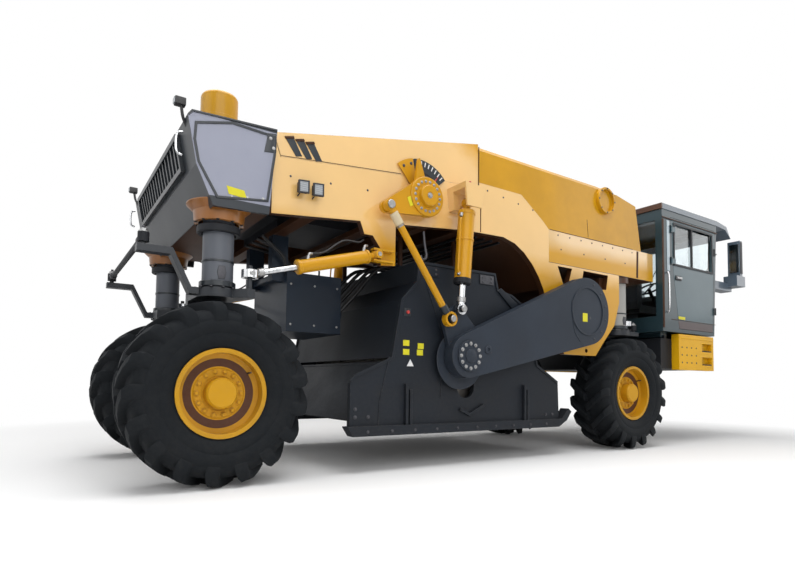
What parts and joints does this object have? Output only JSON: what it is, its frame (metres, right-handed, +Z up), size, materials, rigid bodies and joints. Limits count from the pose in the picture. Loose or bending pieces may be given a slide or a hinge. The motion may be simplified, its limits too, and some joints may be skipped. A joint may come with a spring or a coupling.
{
  "type": "cold recycler",
  "caption": "Road recycling machine with a long hull on lugged wheels, a milling drum on swinging arms under a hood, a sliding cab, and steering at both ends.",
  "frame": {"origin": "on the ground under the middle of the machine's length and width", "axes": "+X forward towards the cab, +Y to the machine's left, +Z up"},
  "size_m": [9.7, 3.246, 3.779],
  "materials": {
    "yellow_paint": "gloss",
    "shroud_grey": "satin",
    "brown_paint": "satin",
    "dark_blue_paint": "satin",
    "leg_grey": "satin",
    "dark_metal": "matt",
    "rod_steel": "polished",
    "worn_steel": "worn",
    "scale_plate": "satin",
    "lamp_black": "matt",
    "cab_paint": "gloss",
    "cab_glass": "clear",
    "seat_fabric": "woven",
    "tyre_rubber": "matt"
  },
  "bodies": {
    "chassis": {"frame_side_right": "yellow_paint", "frame_side_left": "yellow_paint", "rear_beam": "brown_paint", "front_deck": "yellow_paint", "frame_beams": "yellow_paint", "front_hood": "yellow_paint", "rear_shroud": "shroud_grey", "radiator_grille": "dark_metal", "intake_cap": "yellow_paint", "work_lamps": "lamp_black", "gauge_scales": "scale_plate", "engine": "dark_metal", "pump_unit": "dark_metal", "front_platform": "dark_metal", "step_boxes": "yellow_paint", "steer_barrel_front": "dark_metal"},
    "engine_lid": {"rear_hood": "yellow_paint"},
    "rear_leg_right": {"leg_rear_right": "leg_grey"},
    "rear_leg_left": {"leg_rear_left": "leg_grey"},
    "front_leg_right": {"leg_front_right": "leg_grey"},
    "front_leg_left": {"leg_front_left": "leg_grey"},
    "rear_wheel_right": {"tyre_rear_right": "tyre_rubber", "rim_rear_right": "yellow_paint"},
    "rear_wheel_left": {"tyre_rear_left": "tyre_rubber", "rim_rear_left": "yellow_paint"},
    "front_wheel_right": {"tyre_front_right": "tyre_rubber", "rim_front_right": "yellow_paint"},
    "front_wheel_left": {"tyre_front_left": "tyre_rubber", "rim_front_left": "yellow_paint"},
    "rear_tie_rod": {"tie_rod_rear": "dark_metal"},
    "front_tie_rod": {"tie_rod_front": "dark_metal"},
    "rear_steering_barrel_right": {"steer_barrel_rear_right": "yellow_paint"},
    "rear_steering_barrel_left": {"steer_barrel_rear_left": "yellow_paint"},
    "rear_steering_rod_right": {"steer_rod_rear_right": "rod_steel"},
    "rear_steering_rod_left": {"steer_rod_rear_left": "rod_steel"},
    "front_steering_rod": {"steer_rod_front": "rod_steel"},
    "drum_arms": {"drum_arm_right": "dark_blue_paint", "drum_arm_left": "dark_blue_paint", "arm_tubes": "rod_steel"},
    "milling_rotor": {"milling_drum": "worn_steel"},
    "lift_barrels": {"lift_barrel_right": "yellow_paint", "lift_barrel_left": "yellow_paint"},
    "lift_rods": {"lift_rod_right": "rod_steel", "lift_rod_left": "rod_steel"},
    "torsion_levers": {"torsion_shaft": "yellow_paint"},
    "depth_links": {"depth_link_right": "yellow_paint", "depth_link_left": "yellow_paint"},
    "drum_hood": {"hood_side_right": "dark_blue_paint", "hood_side_left": "dark_blue_paint", "hood_roof": "dark_blue_paint"},
    "rear_hood_flap": {"rear_flap": "dark_blue_paint"},
    "front_hood_flap": {"front_flap": "dark_blue_paint"},
    "cab": {"cab_shell": "cab_paint", "cab_roof": "cab_paint", "cab_glass": "cab_glass", "seat": "seat_fabric", "console": "dark_metal", "mirrors": "lamp_black"},
    "door": {"cab_door": "cab_paint", "door_glass": "cab_glass"}
  },
  "joints": [
    {"name": "rear_steer", "type": "hinge", "parent": "chassis", "child": "rear_leg_right", "pos_m": [-4.05, -1.12, 1.72], "axis": [0, 0, 1], "range_deg": [-20, 20]},
    {"name": "rear_steer_left", "type": "hinge", "parent": "chassis", "child": "rear_leg_left", "pos_m": [-4.05, 1.12, 1.72], "axis": [0, 0, 1], "range_deg": [-21, 21]},
    {"name": "rear_tie_rod_turn", "type": "hinge", "parent": "rear_leg_right", "child": "rear_tie_rod", "pos_m": [-4.67, -1.12, 1.7], "axis": [0, 0, 1], "range_deg": [-21, 21]},
    {"name": "rear_wheel_right_spin", "type": "hinge", "parent": "rear_leg_right", "child": "rear_wheel_right", "pos_m": [-4.05, -1.15, 0.8], "axis": [0, 1, 0], "continuous": true},
    {"name": "rear_wheel_left_spin", "type": "hinge", "parent": "rear_leg_left", "child": "rear_wheel_left", "pos_m": [-4.05, 1.15, 0.8], "axis": [0, 1, 0], "continuous": true},
    {"name": "front_steer", "type": "hinge", "parent": "chassis", "child": "front_leg_right", "pos_m": [1.82, -1.12, 1.72], "axis": [0, 0, 1], "range_deg": [-20, 20]},
    {"name": "front_steer_left", "type": "hinge", "parent": "chassis", "child": "front_leg_left", "pos_m": [1.82, 1.12, 1.72], "axis": [0, 0, 1], "range_deg": [-21, 21]},
    {"name": "front_tie_rod_turn", "type": "hinge", "parent": "front_leg_right", "child": "front_tie_rod", "pos_m": [2.24, -1.12, 1.7], "axis": [0, 0, 1], "range_deg": [-21, 21]},
    {"name": "front_wheel_right_spin", "type": "hinge", "parent": "front_leg_right", "child": "front_wheel_right", "pos_m": [1.82, -1.15, 0.8], "axis": [0, 1, 0], "continuous": true},
    {"name": "front_wheel_left_spin", "type": "hinge", "parent": "front_leg_left", "child": "front_wheel_left", "pos_m": [1.82, 1.15, 0.8], "axis": [0, 1, 0], "continuous": true},
    {"name": "rear_steering_barrel_right_turn", "type": "hinge", "parent": "chassis", "child": "rear_steering_barrel_right", "pos_m": [-2.52, -1.33, 2.21], "axis": [0, 0, 1], "range_deg": [-5, 5]},
    {"name": "rear_steering_rod_right_stroke", "type": "slide", "parent": "rear_steering_barrel_right", "child": "rear_steering_rod_right", "axis": [-0.9649, -0.0037, -0.2625], "range_m": [-0.08, 0.08]},
    {"name": "rear_steering_barrel_left_turn", "type": "hinge", "parent": "chassis", "child": "rear_steering_barrel_left", "pos_m": [-2.52, 1.33, 2.21], "axis": [0, 0, 1], "range_deg": [-5, 5]},
    {"name": "rear_steering_rod_left_stroke", "type": "slide", "parent": "rear_steering_barrel_left", "child": "rear_steering_rod_left", "axis": [-0.9649, 0.0037, -0.2625], "range_m": [-0.08, 0.08]},
    {"name": "front_steering_rod_stroke", "type": "slide", "parent": "chassis", "child": "front_steering_rod", "axis": [0, -1, 0], "range_m": [-0.09, 0.09]},
    {"name": "drum_arm_swing", "type": "hinge", "parent": "chassis", "child": "drum_arms", "pos_m": [0.6, 0, 1.87], "axis": [0, -1, 0], "range_deg": [0, 10]},
    {"name": "milling_drum_spin", "type": "hinge", "parent": "drum_arms", "child": "milling_rotor", "pos_m": [-1.43, 0, 1.21], "axis": [0, 1, 0], "continuous": true},
    {"name": "lift_barrel_turn", "type": "hinge", "parent": "chassis", "child": "lift_barrels", "pos_m": [-1.44, 0, 2.92], "axis": [0, -1, 0], "range_deg": [-0.5, 3.63]},
    {"name": "lift_rod_stroke", "type": "slide", "parent": "lift_barrels", "child": "lift_rods", "axis": [-0.0748, 0, -0.9972], "range_m": [-0.01, 0.3745]},
    {"name": "torsion_shaft_turn", "type": "hinge", "parent": "chassis", "child": "torsion_levers", "pos_m": [-1.96, 0, 2.9], "axis": [0, -1, 0], "range_deg": [-1, 39.6]},
    {"name": "depth_link_turn", "type": "hinge", "parent": "torsion_levers", "child": "depth_links", "pos_m": [-2.47, 0, 2.7], "axis": [0, -1, 0], "range_deg": [-47.6, 1]},
    {"name": "drum_hood_drop", "type": "slide", "parent": "chassis", "child": "drum_hood", "axis": [0, 0, 1], "range_m": [-0.12, 0]},
    {"name": "rear_flap_lift", "type": "hinge", "parent": "drum_hood", "child": "rear_hood_flap", "pos_m": [-2.305, 0, 1.11], "axis": [0, 1, 0], "range_deg": [0, 45]},
    {"name": "front_flap_lift", "type": "hinge", "parent": "drum_hood", "child": "front_hood_flap", "pos_m": [-0.09, 0, 1.075], "axis": [0, -1, 0], "range_deg": [0, 40]},
    {"name": "engine_lid_lift", "type": "hinge", "parent": "chassis", "child": "engine_lid", "pos_m": [-1.102, 0, 3.765], "axis": [0, 1, 0], "range_deg": [0, 50]},
    {"name": "cab_slide", "type": "slide", "parent": "chassis", "child": "cab", "axis": [0, 1, 0], "range_m": [0, 1.1]},
    {"name": "cab_door_swing", "type": "hinge", "parent": "cab", "child": "door", "pos_m": [2.784, -1.44, 3.1], "axis": [0, 0, -1], "range_deg": [0, 85]}
  ],
  "couplings": [
    {"joint": "rear_steer_left", "follows": "rear_steer", "ratio": 1},
    {"joint": "rear_tie_rod_turn", "follows": "rear_steer", "ratio": -1},
    {"joint": "front_steer_left", "follows": "front_steer", "ratio": 1},
    {"joint": "front_tie_rod_turn", "follows": "front_steer", "ratio": -1},
    {"joint": "rear_steering_barrel_right_turn", "follows": "rear_steer", "ratio": -0.16348},
    {"joint": "rear_steering_rod_right_stroke", "follows": "rear_steer", "m_per_rad": -0.21223},
    {"joint": "rear_steering_barrel_left_turn", "follows": "rear_steer", "ratio": -0.16348},
    {"joint": "rear_steering_rod_left_stroke", "follows": "rear_steer", "m_per_rad": 0.21223},
    {"joint": "front_steering_rod_stroke", "follows": "front_steer", "m_per_rad": -0.24492},
    {"joint": "lift_barrel_turn", "follows": "drum_arm_swing", "ratio": 0.31346},
    {"joint": "lift_rod_stroke", "follows": "drum_arm_swing", "m_per_rad": 2.0887},
    {"joint": "torsion_shaft_turn", "follows": "drum_arm_swing", "ratio": 3.86},
    {"joint": "depth_link_turn", "follows": "drum_arm_swing", "ratio": -4.66}
  ]
}
